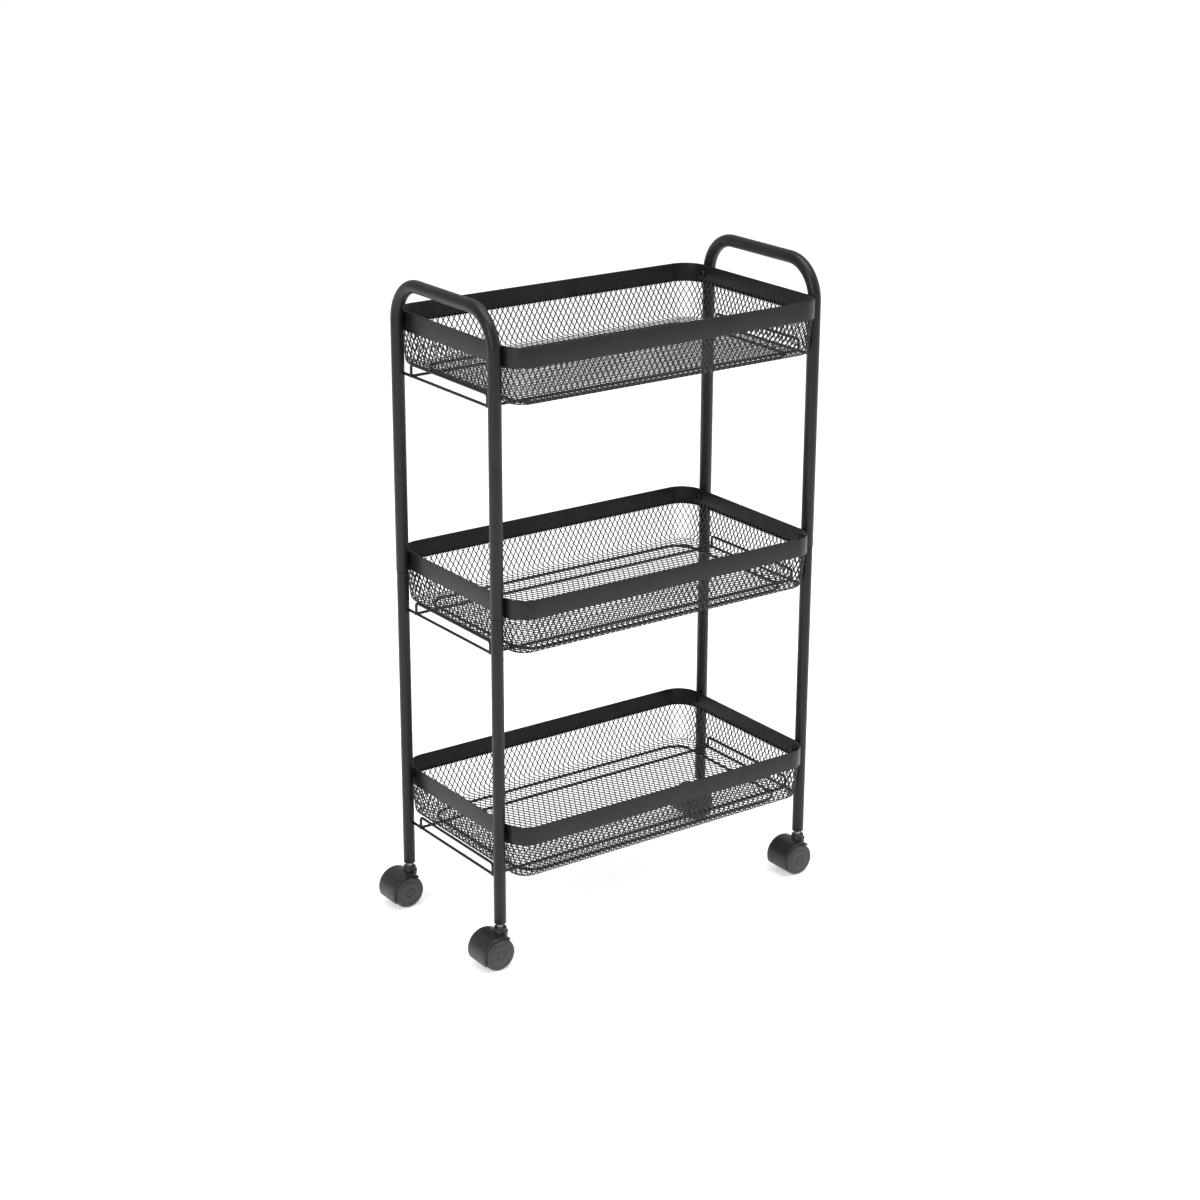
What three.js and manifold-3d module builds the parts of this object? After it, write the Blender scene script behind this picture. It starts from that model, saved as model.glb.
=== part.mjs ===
// Rolling utility cart: three wire-mesh baskets on two tubular end frames, four twin-wheel casters.
//
// Millimetres, +Z up. X runs along the baskets, Y across them, and the casters stand on z = 0.
// The front is the -Y side and the left is the -X side. The origin is the centre of the base of the
// whole cart's box, with all four casters trailing towards -X.
//
// Each end frame is an inverted U of tube whose two legs are lengthened by lower legs of thinner
// tube, swaged to push up into it. A basket is a flat steel band bent to a rounded rectangle, an
// expanded-metal tray hung inside it, and a welded wire frame under the tray that reaches the legs.
// Four bolts hold each band to the four legs.

import * as THREE from 'three';
import { mergeVertices } from 'three/addons/utils/BufferGeometryUtils.js';
import Module from 'manifold-3d';

const wasm = await Module();
wasm.setup();

// ---- Driving dimensions ----------------------------------------------------------------------

const TOUCH_GAP = 0.3; // between pieces that touch on the real cart

// End frames
const FRAME_SPACING = 441; // between the two end frames, tube centre to tube centre
const LEG_INSET = 27.5; // a leg's centre line from the outer face of a basket's long side
const HANDLE_RISE = 43; // top basket's rim to the top of the handles
const UPPER_TUBE_OD = 15;
const LOWER_TUBE_STEP = 1; // how much thinner the lower legs are
const TUBE_WALL = 1;
const HANDLE_BEND_RADIUS = 45; // to the tube's centre line
const SPIGOT_LENGTH = 25; // swaged end of a lower leg, inside the upper tube
const SPIGOT_TAPER_LENGTH = 2;

// Baskets
const BAND_WIDTH = 253; // outside, across the cart
const BAND_HEIGHT = 22.5;
const BAND_THICKNESS = 1.2;
const BAND_CORNER_RADIUS = 28; // outside
const BOTTOM_BAND_HEIGHT = 173; // floor to the bottom basket's rim
const LOWER_TIER_SPACING = 271; // bottom rim to middle rim
const UPPER_TIER_SPACING = 283; // middle rim to top rim
const TRAY_LIP = 4; // how far the tray reaches up inside its band
const TRAY_DROP = 43; // band's lower edge to the underside of the tray
const TRAY_WALL = 1;
const TRAY_WALL_SLOPE = THREE.MathUtils.degToRad(6); // from upright
const TRAY_BEND_RADIUS = 8; // outside, between wall and floor

// Wire frame under a tray
const WIRE_DIAMETER = 3.4;
const WIRE_WELD_SINK = 0.4; // how far crossing wires sink into each other at a weld
const WIRE_RING_INSET = 25; // ring's centre line from the band's outer face
const WIRE_RING_RADIUS = 24; // ring's corners, centre line
const RUNNER_INSET = 21; // the two long wires, inwards from the legs' centre line
const END_WIRE_INSET = 4.5; // end wires' centre line, inwards from the legs' centre line
const STAPLE_HEIGHT = 13.5; // the upper end wire, above the lower one
const STAPLE_BEND_RADIUS = 4;

// Bolts
const BOLT_DIAMETER = 5;
const BOLT_HEAD_DIAMETER = 9;
const BOLT_HEAD_HEIGHT = 2.4;
const BOLT_REACH = 3; // past the inside of the upper tube's wall
const BOLT_CLEARANCE = 0.3; // all round the shank

// Casters
const WHEEL_DIAMETER = 40;
const WHEEL_WIDTH = 13.4;
const WHEEL_EDGE = 1.5; // chamfer on the outer rim
const WHEEL_CAP = 2.5; // closed outer face, past the blind axle bore
const CASTER_TRAIL = 11; // wheel centre behind the stem's axis
const WEB_WIDTH = 10; // housing's middle wall, between the wheels
const WEB_RADIUS = 16;
const WHEEL_SIDE_GAP = 0.5;
const HOOD_CLEARANCE = 0.8; // between tread and hood
const HOOD_THICKNESS = 1.8;
const HOOD_FRONT_ANGLE = THREE.MathUtils.degToRad(35);
const HOOD_BACK_ANGLE = THREE.MathUtils.degToRad(205);
const NECK_DIAMETER = 15;
const NECK_RISE = 3.8; // above the hood
const NECK_GAP = 4.5; // stem left bare between the neck and the leg's socket
const AXLE_DIAMETER = 5;
const RUNNING_GAP = 0.3; // radial, on the axle and on the stem's bearing
const STEM_DIAMETER = 7;
const STEM_GRIP_DIAMETER = 8; // raised grip ring near the stem's top
const STEM_GRIP_LENGTH = 4;
const STEM_LEAD_IN = 3; // tapered tip above the grip ring
const STEM_SLOPE = 1; // length of the ring's slopes, and how far the tip narrows
const STEM_SEAT_DEPTH = 16; // into the housing's neck
const STEM_REACH = 25; // up into the leg
const SOCKET_LENGTH = 28;
const SOCKET_FLANGE = 1.5;

// Facets
const TUBE_SIDES = 16;
const WIRE_SIDES = 6;
const BOLT_SIDES = 8;
const WHEEL_SIDES = 20;
const SMALL_SIDES = 12;
const HOOD_STEPS = 8;
const BEND_STEPS = 4;

// ---- Places that follow from them ------------------------------------------------------------

const legX = FRAME_SPACING / 2;
const legY = BAND_WIDTH / 2 - LEG_INSET;
const upperRadius = UPPER_TUBE_OD / 2;
const lowerRadius = (UPPER_TUBE_OD - LOWER_TUBE_STEP) / 2;
const bandTop = {
  top: BOTTOM_BAND_HEIGHT + LOWER_TIER_SPACING + UPPER_TIER_SPACING,
  middle: BOTTOM_BAND_HEIGHT + LOWER_TIER_SPACING,
  bottom: BOTTOM_BAND_HEIGHT,
};
const handleZ = bandTop.top + HANDLE_RISE - upperRadius;

const bandHalfLength = legX - upperRadius - TOUCH_GAP;
const bandHalfWidth = BAND_WIDTH / 2;
const bandBottom = (tier) => bandTop[tier] - BAND_HEIGHT;
const boltHeight = (tier) => bandTop[tier] - BAND_HEIGHT / 2;
const legJointHeight = bandBottom('middle') - TOUCH_GAP; // hidden just under the middle band

const wireRadius = WIRE_DIAMETER / 2;
const ringDrop = TRAY_DROP + TOUCH_GAP + wireRadius; // band's lower edge to the ring's centre line
const runnerDrop = ringDrop + WIRE_DIAMETER - WIRE_WELD_SINK;
const runnerY = legY - RUNNER_INSET;
const endWireX = legX - END_WIRE_INSET;

const wheelRadius = WHEEL_DIAMETER / 2;
const wheelCentreHeight = wheelRadius * Math.cos(Math.PI / WHEEL_SIDES); // it stands on a facet
const wheelInnerFace = WEB_WIDTH / 2 + WHEEL_SIDE_GAP;
const wheelOuterFace = wheelInnerFace + WHEEL_WIDTH;
const hoodInnerRadius = wheelRadius + HOOD_CLEARANCE;
const hoodOuterRadius = hoodInnerRadius + HOOD_THICKNESS;
const axleRadius = AXLE_DIAMETER / 2;
const stemRadius = STEM_DIAMETER / 2;
const neckTop = wheelCentreHeight + hoodOuterRadius + NECK_RISE;
const socketFlangeBottom = neckTop + NECK_GAP;
const legFoot = socketFlangeBottom + SOCKET_FLANGE + TOUCH_GAP; // floor to the open end of a leg

// The trailing casters reach further back than forward, so the cart is shifted to centre its box.
const reachBack = legX + CASTER_TRAIL + hoodOuterRadius;
const reachForward = Math.max(legX + upperRadius, legX - CASTER_TRAIL + wheelRadius);
const centringShift = (reachBack - reachForward) / 2;

const ENDS = [
  { name: 'left', sign: -1 },
  { name: 'right', sign: 1 },
];
const SIDES = [
  { name: 'front', sign: -1 },
  { name: 'rear', sign: 1 },
];
const TIERS = ['top', 'middle', 'bottom'];

// ---- Materials -------------------------------------------------------------------------------

function paint(colour, roughness, metalness) {
  return () => new THREE.MeshStandardMaterial({ color: colour, roughness, metalness });
}

const powderCoat = paint(0x2a2827, 0.5, 0.2);
const coatedMesh = paint(0x33302f, 0.5, 0.2);
const coatedWire = paint(0x262423, 0.45, 0.2);
const blackPlastic = paint(0x1d1d1e, 0.45, 0);
const wheelPlastic = paint(0x2c2c2e, 0.55, 0);
const zincSteel = paint(0xb9bcc0, 0.3, 1);

// ---- Geometry helpers ------------------------------------------------------------------------

// A path through given points with given directions, for sections that must fall exactly there.
class StationCurve extends THREE.Curve {
  constructor(stations) {
    super();
    this.stations = stations;
  }

  station(u) {
    return this.stations[Math.round(u * (this.stations.length - 1))];
  }

  getPointAt(u, target = new THREE.Vector3()) {
    return target.copy(this.station(u).point);
  }

  getTangentAt(u, target = new THREE.Vector3()) {
    return target.copy(this.station(u).tangent);
  }
}

// Stations along straight runs between corners, each corner rounded to the bend radius.
function bentRoute(corners, bendRadius) {
  const last = corners.length - 1;
  const direction = (i) => corners[i + 1].clone().sub(corners[i]).normalize();
  const stations = [{ point: corners[0].clone(), tangent: direction(0) }];
  for (let i = 1; i < last; i += 1) {
    const before = direction(i - 1);
    const after = direction(i);
    const turn = before.angleTo(after);
    const setback = bendRadius * Math.tan(turn / 2);
    const axis = before.clone().cross(after).normalize();
    const inward = axis.clone().cross(before);
    const start = corners[i].clone().addScaledVector(before, -setback);
    const centre = start.clone().addScaledVector(inward, bendRadius);
    for (let step = 0; step <= BEND_STEPS; step += 1) {
      const angle = (turn * step) / BEND_STEPS;
      const spoke = start.clone().sub(centre).applyAxisAngle(axis, angle);
      stations.push({
        point: centre.clone().add(spoke),
        tangent: before.clone().applyAxisAngle(axis, angle),
      });
    }
  }
  stations.push({ point: corners[last].clone(), tangent: direction(last - 1) });
  return stations;
}

function sweep(section, stations) {
  return new THREE.ExtrudeGeometry(section, {
    steps: stations.length - 1,
    extrudePath: new StationCurve(stations),
    curveSegments: 1,
  });
}

function regularPolygon(radius, sides) {
  const points = [];
  for (let i = 0; i < sides; i += 1) {
    const angle = (i * 2 * Math.PI) / sides;
    points.push(new THREE.Vector2(radius * Math.cos(angle), radius * Math.sin(angle)));
  }
  return points;
}

function wire(corners, bendRadius = 0) {
  const section = new THREE.Shape(regularPolygon(wireRadius, WIRE_SIDES));
  return sweep(section, bentRoute(corners, bendRadius));
}

// A rounded rectangle's half, from the middle of one long side round to the middle of the other.
function halfLoop(halfLength, halfWidth, z, radius, sign) {
  const corners = [
    new THREE.Vector3(0, -sign * halfWidth, z),
    new THREE.Vector3(sign * halfLength, -sign * halfWidth, z),
    new THREE.Vector3(sign * halfLength, sign * halfWidth, z),
    new THREE.Vector3(0, sign * halfWidth, z),
  ];
  return bentRoute(corners, radius);
}

function roundedRectangle(halfLength, halfWidth, radius, PathType = THREE.Shape) {
  const outline = new PathType();
  outline.moveTo(-halfLength + radius, -halfWidth);
  outline.lineTo(halfLength - radius, -halfWidth);
  outline.absarc(halfLength - radius, -halfWidth + radius, radius, -Math.PI / 2, 0);
  outline.lineTo(halfLength, halfWidth - radius);
  outline.absarc(halfLength - radius, halfWidth - radius, radius, 0, Math.PI / 2);
  outline.lineTo(-halfLength + radius, halfWidth);
  outline.absarc(-halfLength + radius, halfWidth - radius, radius, Math.PI / 2, Math.PI);
  outline.lineTo(-halfLength, -halfWidth + radius);
  outline.absarc(-halfLength + radius, -halfWidth + radius, radius, Math.PI, 1.5 * Math.PI);
  return outline;
}

function plate(outline, thickness) {
  return new THREE.ExtrudeGeometry(outline, {
    depth: thickness,
    bevelEnabled: false,
    curveSegments: BEND_STEPS,
  });
}

// A turned piece about +Z, from [radius, height] points listed upwards along its outside.
function turned(profile, sides) {
  const points = profile.map(([radius, height]) => new THREE.Vector2(radius, height));
  const geometry = new THREE.LatheGeometry(points, sides);
  geometry.rotateX(Math.PI / 2);
  return geometry;
}

function rod(radius, from, to, sides) {
  return turned([[0, from], [radius, from], [radius, to], [0, to]], sides);
}

function solid(geometry) {
  const bare = geometry.clone();
  bare.deleteAttribute('normal');
  bare.deleteAttribute('uv');
  const merged = mergeVertices(bare, 1e-4);
  return new wasm.Manifold(new wasm.Mesh({
    numProp: 3,
    vertProperties: new Float32Array(merged.attributes.position.array),
    triVerts: new Uint32Array(merged.index.array),
  }));
}

function geometryOf(body) {
  const result = body.getMesh();
  const geometry = new THREE.BufferGeometry();
  geometry.setAttribute('position', new THREE.BufferAttribute(result.vertProperties, 3));
  geometry.setIndex(new THREE.BufferAttribute(result.triVerts, 1));
  geometry.computeVertexNormals();
  return geometry;
}

function join(geometries) {
  const bodies = geometries.map(solid);
  return bodies.reduce((whole, next) => whole.add(next));
}

function cut(body, tools) {
  return tools.map(solid).reduce((rest, tool) => rest.subtract(tool), body);
}

function part(name, geometry, material) {
  const mesh = new THREE.Mesh(geometry, material());
  mesh.name = name;
  return mesh;
}

// ---- Bolts and their holes -------------------------------------------------------------------

const bandCornerStart = bandHalfWidth - BAND_CORNER_RADIUS;
const headRim = legY + BOLT_HEAD_DIAMETER / 2;
const bandInnerRadius = BAND_CORNER_RADIUS - BAND_THICKNESS;
const rimPastCorner = Math.max(0, headRim - bandCornerStart);
// How far the band's inner face has curved away from straight under the edge of a bolt head
const headStandOff = bandInnerRadius - Math.sqrt(bandInnerRadius ** 2 - rimPastCorner ** 2);
const headSeat = bandHalfLength - BAND_THICKNESS - headStandOff - TOUCH_GAP;
const boltTip = legX - upperRadius + TUBE_WALL + BOLT_REACH;

// A shank-wide bore for the bolt at one leg, from the basket's inside to the leg's centre line
function boltBore(end, side, height) {
  const bore = rod(BOLT_DIAMETER / 2 + BOLT_CLEARANCE, headSeat - BOLT_HEAD_HEIGHT, legX, BOLT_SIDES);
  bore.rotateY(Math.PI / 2);
  if (end.sign < 0) bore.rotateZ(Math.PI);
  bore.translate(0, side.sign * legY, height);
  return bore;
}

function boltGeometry() {
  const shank = BOLT_DIAMETER / 2;
  const head = BOLT_HEAD_DIAMETER / 2;
  const profile = [
    [0, headSeat - BOLT_HEAD_HEIGHT],
    [head * 0.7, headSeat - BOLT_HEAD_HEIGHT],
    [head, headSeat - BOLT_HEAD_HEIGHT / 2],
    [head, headSeat],
    [shank, headSeat],
    [shank, boltTip],
    [0, boltTip],
  ];
  const geometry = turned(profile, BOLT_SIDES);
  geometry.rotateY(Math.PI / 2);
  return geometry;
}

function addBolts(cart) {
  for (const tier of TIERS) {
    for (const end of ENDS) {
      for (const side of SIDES) {
        const name = `bolt_${tier}_${side.name}_${end.name}`;
        const bolt = part(name, boltGeometry(), powderCoat);
        bolt.rotation.z = end.sign < 0 ? Math.PI : 0;
        bolt.position.set(0, side.sign * legY, boltHeight(tier));
        cart.add(bolt);
      }
    }
  }
}

// ---- End frames ------------------------------------------------------------------------------

// The handle and the upper part of two legs: one tube, bent twice, open at both lower ends
function upperFrame(end) {
  const x = end.sign * legX;
  const foot = legJointHeight + TOUCH_GAP;
  const corners = [
    new THREE.Vector3(x, -legY, foot),
    new THREE.Vector3(x, -legY, handleZ),
    new THREE.Vector3(x, legY, handleZ),
    new THREE.Vector3(x, legY, foot),
  ];
  const section = new THREE.Shape(regularPolygon(upperRadius, TUBE_SIDES));
  section.holes.push(new THREE.Path(regularPolygon(upperRadius - TUBE_WALL, TUBE_SIDES)));
  const tube = solid(sweep(section, bentRoute(corners, HANDLE_BEND_RADIUS)));
  const bores = [];
  for (const side of SIDES) {
    bores.push(boltBore(end, side, boltHeight('top')));
    bores.push(boltBore(end, side, boltHeight('middle')));
  }
  return part(`upper_frame_${end.name}`, geometryOf(cut(tube, bores)), powderCoat);
}

// A straight leg whose top is swaged down to push up into the upper frame's leg
function lowerLeg(end, side) {
  const spigotRadius = upperRadius - TUBE_WALL - TOUCH_GAP;
  const spigotTop = legJointHeight + SPIGOT_LENGTH;
  const taperTop = legJointHeight + TOUCH_GAP;
  const taperFoot = legJointHeight - SPIGOT_TAPER_LENGTH;
  const profile = [
    [lowerRadius - TUBE_WALL, legFoot],
    [lowerRadius, legFoot],
    [lowerRadius, legJointHeight],
    [spigotRadius, taperTop],
    [spigotRadius, spigotTop],
    [spigotRadius - TUBE_WALL, spigotTop],
    [spigotRadius - TUBE_WALL, legJointHeight],
    [lowerRadius - TUBE_WALL, taperFoot],
    [lowerRadius - TUBE_WALL, legFoot],
  ];
  const tube = turned(profile, TUBE_SIDES);
  tube.translate(end.sign * legX, side.sign * legY, 0);
  const bores = [
    boltBore(end, side, boltHeight('middle')),
    boltBore(end, side, boltHeight('bottom')),
  ];
  return part(`lower_leg_${side.name}_${end.name}`, geometryOf(cut(solid(tube), bores)), powderCoat);
}

// ---- Baskets ---------------------------------------------------------------------------------

function rimBand(tier) {
  const outline = roundedRectangle(bandHalfLength, bandHalfWidth, BAND_CORNER_RADIUS);
  const hollow = roundedRectangle(
    bandHalfLength - BAND_THICKNESS,
    bandHalfWidth - BAND_THICKNESS,
    BAND_CORNER_RADIUS - BAND_THICKNESS,
    THREE.Path,
  );
  outline.holes.push(hollow);
  const strip = plate(outline, BAND_HEIGHT);
  strip.translate(0, 0, bandBottom(tier));
  const bores = [];
  for (const end of ENDS) {
    for (const side of SIDES) {
      bores.push(boltBore(end, side, boltHeight(tier)));
    }
  }
  return part(`rim_band_${tier}`, geometryOf(cut(solid(strip), bores)), powderCoat);
}

// The tray's wall in section, with x down from its upper edge and y inwards from its outer face
function trayWallSection() {
  const floorDepth = TRAY_LIP + TRAY_DROP;
  const centreX = floorDepth - TRAY_BEND_RADIUS;
  const slopeLength = (centreX - TRAY_LIP + TRAY_BEND_RADIUS * Math.sin(TRAY_WALL_SLOPE))
    / Math.cos(TRAY_WALL_SLOPE);
  const centreY = slopeLength * Math.sin(TRAY_WALL_SLOPE) + TRAY_BEND_RADIUS * Math.cos(TRAY_WALL_SLOPE);
  const arc = (radius) => {
    const points = [];
    for (let step = 0; step <= BEND_STEPS; step += 1) {
      const angle = -Math.PI / 2 + TRAY_WALL_SLOPE
        + ((Math.PI / 2 - TRAY_WALL_SLOPE) * step) / BEND_STEPS;
      points.push(new THREE.Vector2(
        centreX + radius * Math.cos(angle),
        centreY + radius * Math.sin(angle),
      ));
    }
    return points;
  };
  const points = [
    new THREE.Vector2(0, 0),
    new THREE.Vector2(TRAY_LIP, 0),
    ...arc(TRAY_BEND_RADIUS),
    ...arc(TRAY_BEND_RADIUS - TRAY_WALL).reverse(),
    new THREE.Vector2(TRAY_LIP, TRAY_WALL / Math.cos(TRAY_WALL_SLOPE)),
    new THREE.Vector2(0, TRAY_WALL / Math.cos(TRAY_WALL_SLOPE)),
  ];
  return { section: new THREE.Shape(points), floorInset: centreY };
}

// Closed sheet standing in for the expanded metal: sloping walls, rounded into a flat floor
function meshTray(tier) {
  const rimInset = BAND_THICKNESS + TOUCH_GAP;
  const halfLength = bandHalfLength - rimInset;
  const halfWidth = bandHalfWidth - rimInset;
  const cornerRadius = BAND_CORNER_RADIUS - rimInset;
  const rimHeight = bandBottom(tier) + TRAY_LIP;
  const { section, floorInset } = trayWallSection();
  const walls = [-1, 1].map((sign) => (
    sweep(section, halfLoop(halfLength, halfWidth, rimHeight, cornerRadius, sign))
  ));
  const floor = plate(
    roundedRectangle(halfLength - floorInset, halfWidth - floorInset, cornerRadius - floorInset),
    TRAY_WALL,
  );
  floor.translate(0, 0, bandBottom(tier) - TRAY_DROP);
  return part(`mesh_tray_${tier}`, geometryOf(join([...walls, floor])), coatedMesh);
}

// A ring under the tray, two long runners under the ring, and at each end a wire that joins the
// runners to the legs, with a staple standing on it
function wireFrame(tier) {
  const ringHeight = bandBottom(tier) - ringDrop;
  const runnerHeight = bandBottom(tier) - runnerDrop;
  const ringLength = bandHalfLength - WIRE_RING_INSET;
  const ringWidth = bandHalfWidth - WIRE_RING_INSET;
  const section = new THREE.Shape(regularPolygon(wireRadius, WIRE_SIDES));
  const wires = [-1, 1].map((sign) => (
    sweep(section, halfLoop(ringLength, ringWidth, ringHeight, WIRE_RING_RADIUS, sign))
  ));
  for (const side of SIDES) {
    const y = side.sign * runnerY;
    const tip = endWireX + wireRadius;
    wires.push(wire([
      new THREE.Vector3(-tip, y, runnerHeight),
      new THREE.Vector3(tip, y, runnerHeight),
    ]));
  }
  const legRadius = tier === 'top' ? upperRadius : lowerRadius;
  // Each end wire butts against the rounds of two legs, off their centre line
  const endWireLength = legY - TOUCH_GAP
    - Math.sqrt(legRadius ** 2 - (END_WIRE_INSET - wireRadius) ** 2);
  for (const end of ENDS) {
    const x = end.sign * endWireX;
    wires.push(wire([
      new THREE.Vector3(x, -endWireLength, runnerHeight),
      new THREE.Vector3(x, endWireLength, runnerHeight),
    ]));
    wires.push(wire([
      new THREE.Vector3(x, -runnerY, runnerHeight),
      new THREE.Vector3(x, -runnerY, runnerHeight + STAPLE_HEIGHT),
      new THREE.Vector3(x, runnerY, runnerHeight + STAPLE_HEIGHT),
      new THREE.Vector3(x, runnerY, runnerHeight),
    ], STAPLE_BEND_RADIUS));
  }
  return part(`wire_frame_${tier}`, geometryOf(join(wires)), coatedWire);
}

// ---- Casters ---------------------------------------------------------------------------------
// Each is built about its stem, with the wheels trailing towards -X and their axle along Y.

function standUpright(outline, width) {
  const geometry = new THREE.ExtrudeGeometry(outline, {
    depth: width,
    bevelEnabled: false,
    curveSegments: HOOD_STEPS,
  });
  geometry.rotateX(Math.PI / 2);
  geometry.translate(-CASTER_TRAIL, width / 2, wheelCentreHeight);
  return geometry;
}

function alongAxle(geometry) {
  geometry.rotateX(Math.PI / 2);
  geometry.translate(-CASTER_TRAIL, 0, wheelCentreHeight);
  return geometry;
}

// Black moulding: a middle wall between the wheels, a hood over both treads and the stem's neck
function casterHousing() {
  const hood = new THREE.Shape();
  hood.absarc(0, 0, hoodOuterRadius, HOOD_FRONT_ANGLE, HOOD_BACK_ANGLE);
  hood.absarc(0, 0, hoodInnerRadius, HOOD_BACK_ANGLE, HOOD_FRONT_ANGLE, true);
  const rib = new THREE.Shape();
  rib.moveTo(0, 0);
  rib.absarc(0, 0, hoodInnerRadius + HOOD_THICKNESS / 2, HOOD_FRONT_ANGLE, HOOD_BACK_ANGLE);
  const web = new THREE.Shape(regularPolygon(WEB_RADIUS, TUBE_SIDES));
  const neckFoot = wheelCentreHeight + hoodInnerRadius;
  const neck = rod(NECK_DIAMETER / 2, neckFoot - HOOD_THICKNESS, neckTop, TUBE_SIDES);
  const body = join([
    standUpright(hood, 2 * wheelOuterFace),
    standUpright(rib, WEB_WIDTH),
    standUpright(web, WEB_WIDTH),
    neck,
  ]);
  const wheelRoom = SIDES.map((side) => {
    const farFace = wheelOuterFace + TOUCH_GAP;
    const room = rod(wheelRadius + TOUCH_GAP, WEB_WIDTH / 2, farFace, WHEEL_SIDES);
    if (side.sign > 0) room.rotateX(Math.PI);
    return alongAxle(room);
  });
  const stemRoom = stemRadius + RUNNING_GAP;
  const stemBore = rod(stemRoom, neckTop - STEM_SEAT_DEPTH, neckTop + NECK_GAP, SMALL_SIDES);
  const axleRoom = axleRadius + RUNNING_GAP;
  const axleBore = alongAxle(rod(axleRoom, -wheelOuterFace, wheelOuterFace, SMALL_SIDES));
  return geometryOf(cut(body, [...wheelRoom, stemBore, axleBore]));
}

// Solid wheel with a closed outer face and a blind bore for the axle
function casterWheel() {
  const bore = axleRadius + RUNNING_GAP;
  const profile = [
    [0, wheelOuterFace - WHEEL_CAP],
    [bore, wheelOuterFace - WHEEL_CAP],
    [bore, wheelInnerFace],
    [wheelRadius, wheelInnerFace],
    [wheelRadius, wheelOuterFace - WHEEL_EDGE],
    [wheelRadius - WHEEL_EDGE, wheelOuterFace],
    [0, wheelOuterFace],
  ];
  const geometry = turned(profile, WHEEL_SIDES);
  // Half a facet of turn puts a flat facet, not an edge, on the floor
  geometry.rotateZ(Math.PI / WHEEL_SIDES);
  return geometry;
}

function casterStem() {
  const foot = neckTop - STEM_SEAT_DEPTH + TOUCH_GAP;
  const tip = legFoot + STEM_REACH;
  const grip = STEM_GRIP_DIAMETER / 2;
  const gripTop = tip - STEM_LEAD_IN;
  const gripFoot = gripTop - STEM_GRIP_LENGTH;
  return turned([
    [0, foot],
    [stemRadius, foot],
    [stemRadius, gripFoot],
    [grip, gripFoot + STEM_SLOPE],
    [grip, gripTop - STEM_SLOPE],
    [stemRadius, gripTop],
    [stemRadius - STEM_SLOPE, tip],
    [0, tip],
  ], SMALL_SIDES);
}

// Plastic plug in the leg's open end; the stem's grip ring holds in it
function casterSocket() {
  const outer = lowerRadius - TUBE_WALL - TOUCH_GAP;
  const bore = STEM_GRIP_DIAMETER / 2 + TOUCH_GAP;
  const flangeTop = legFoot - TOUCH_GAP;
  return turned([
    [bore, socketFlangeBottom],
    [lowerRadius - SOCKET_FLANGE / 2, socketFlangeBottom],
    [lowerRadius, flangeTop],
    [outer, flangeTop],
    [outer, legFoot + SOCKET_LENGTH],
    [bore, legFoot + SOCKET_LENGTH],
    [bore, socketFlangeBottom],
  ], SMALL_SIDES);
}

function caster(end, side) {
  const place = `${side.name}_${end.name}`;
  const group = new THREE.Group();
  group.position.set(end.sign * legX, side.sign * legY, 0);
  group.add(part(`caster_socket_${place}`, casterSocket(), blackPlastic));
  group.add(part(`caster_stem_${place}`, casterStem(), zincSteel));
  group.add(part(`caster_housing_${place}`, casterHousing(), blackPlastic));
  const axleEnd = wheelOuterFace - WHEEL_CAP - TOUCH_GAP;
  const axle = alongAxle(rod(axleRadius, -axleEnd, axleEnd, SMALL_SIDES));
  group.add(part(`caster_axle_${place}`, axle, zincSteel));
  for (const wheelSide of SIDES) {
    const wheel = part(`wheel_${wheelSide.name}_of_${place}`, casterWheel(), wheelPlastic);
    wheel.rotation.x = -wheelSide.sign * (Math.PI / 2);
    wheel.position.set(-CASTER_TRAIL, 0, wheelCentreHeight);
    group.add(wheel);
  }
  return group;
}

// ---- The cart --------------------------------------------------------------------------------

const cart = new THREE.Group();
cart.position.x = centringShift;

for (const end of ENDS) {
  cart.add(upperFrame(end));
  for (const side of SIDES) {
    cart.add(lowerLeg(end, side));
    cart.add(caster(end, side));
  }
}
for (const tier of TIERS) {
  cart.add(rimBand(tier));
  cart.add(meshTray(tier));
  cart.add(wireFrame(tier));
}
addBolts(cart);

const model = new THREE.Group();
model.add(cart);

export default model;
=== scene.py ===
import math

import bpy
from mathutils import Matrix, Vector


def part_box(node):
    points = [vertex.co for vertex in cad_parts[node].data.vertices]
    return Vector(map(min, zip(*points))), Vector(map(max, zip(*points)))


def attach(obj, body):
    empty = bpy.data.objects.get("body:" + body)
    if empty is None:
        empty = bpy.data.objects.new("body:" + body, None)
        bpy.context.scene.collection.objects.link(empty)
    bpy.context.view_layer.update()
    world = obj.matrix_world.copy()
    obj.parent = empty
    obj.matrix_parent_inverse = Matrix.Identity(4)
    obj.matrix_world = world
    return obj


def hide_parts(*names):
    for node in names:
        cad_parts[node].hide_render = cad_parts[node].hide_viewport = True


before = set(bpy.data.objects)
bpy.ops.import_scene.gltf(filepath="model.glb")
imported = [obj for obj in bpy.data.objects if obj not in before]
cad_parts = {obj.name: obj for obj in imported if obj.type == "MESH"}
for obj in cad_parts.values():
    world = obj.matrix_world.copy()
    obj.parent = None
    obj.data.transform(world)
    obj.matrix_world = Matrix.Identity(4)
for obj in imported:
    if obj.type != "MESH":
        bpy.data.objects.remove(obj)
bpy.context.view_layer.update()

# ---- End frames ------------------------------------------------------------------------------
# The handle and the upper part of two legs: one 15 mm steel tube with a 1 mm wall, bent twice
# on a mandrel and powder coated in satin black. The basket bolts pull each rim band against it.

ENDS = ("left", "right")
TUBE_WALL = 0.001
HANDLE_BEND = 0.045  # to the tube's centre line
TUBE_SIDES = 40
SHARP_EDGE = math.radians(60)  # cut edges turn further than this, and are dressed round


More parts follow.
